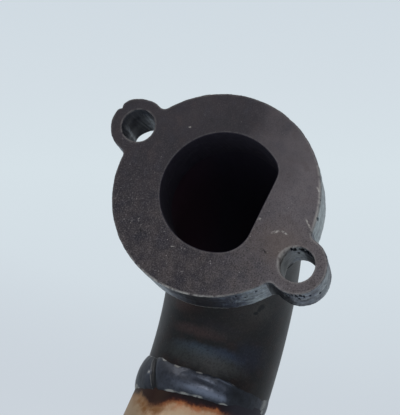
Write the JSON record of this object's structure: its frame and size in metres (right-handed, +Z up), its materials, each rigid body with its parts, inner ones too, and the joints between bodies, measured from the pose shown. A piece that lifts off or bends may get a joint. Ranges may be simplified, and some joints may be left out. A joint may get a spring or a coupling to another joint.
{
  "type": "exhaust muffler",
  "caption": "Small-engine exhaust muffler with a thick two-ear inlet flange, weld elbow, bent header pipe, round chambered can, hangers and a turned tail pipe.",
  "frame": {"origin": "centre of the inlet flange's front face, midway between its two stud holes", "axes": "-Y out of the inlet face towards the engine, +Z up, and the can lies along X with its tail pipe at the -X end"},
  "size_m": [0.5612, 0.1797, 0.2843],
  "materials": {
    "flange_plate": "hot-rolled plate with dark mill scale, cut edges bare",
    "elbow_steel": "black steel with faint heat bands",
    "weld_metal": "smooth dark blue-grey bead",
    "tinted_stainless": "satin stainless with brown and gold heat tint by the welds",
    "stainless": "satin stainless sheet",
    "hanger_steel": "plain folded stainless sheet",
    "core_steel": "plain sheet and tube",
    "wool": "loose mineral wool"
  },
  "bodies": {
    "root": {"elbow_weld": "weld_metal", "flange_weld": "weld_metal", "front_baffle": "core_steel", "front_cap": "stainless", "front_hanger": "hanger_steel", "front_hanger_pad": "stainless", "front_hanger_welds": "weld_metal", "front_pad_welds": "weld_metal", "front_plug_welds": "weld_metal", "front_rim_weld": "weld_metal", "header_pipe": "tinted_stainless", "header_weld": "weld_metal", "inlet_elbow": "elbow_steel", "inlet_flange": "flange_plate", "inlet_tube": "core_steel", "outlet_tube": "core_steel", "rear_baffle": "core_steel", "rear_cap": "stainless", "rear_hanger": "hanger_steel", "rear_hanger_pad": "stainless", "rear_hanger_welds": "weld_metal", "rear_pad_welds": "weld_metal", "rear_plug_welds": "weld_metal", "rear_rim_weld": "weld_metal", "return_tube": "core_steel", "shell": "stainless", "shell_seam_weld": "weld_metal", "tail_pipe": "stainless", "tail_weld": "weld_metal", "wool_packing": "wool"}
  },
  "joints": []
}
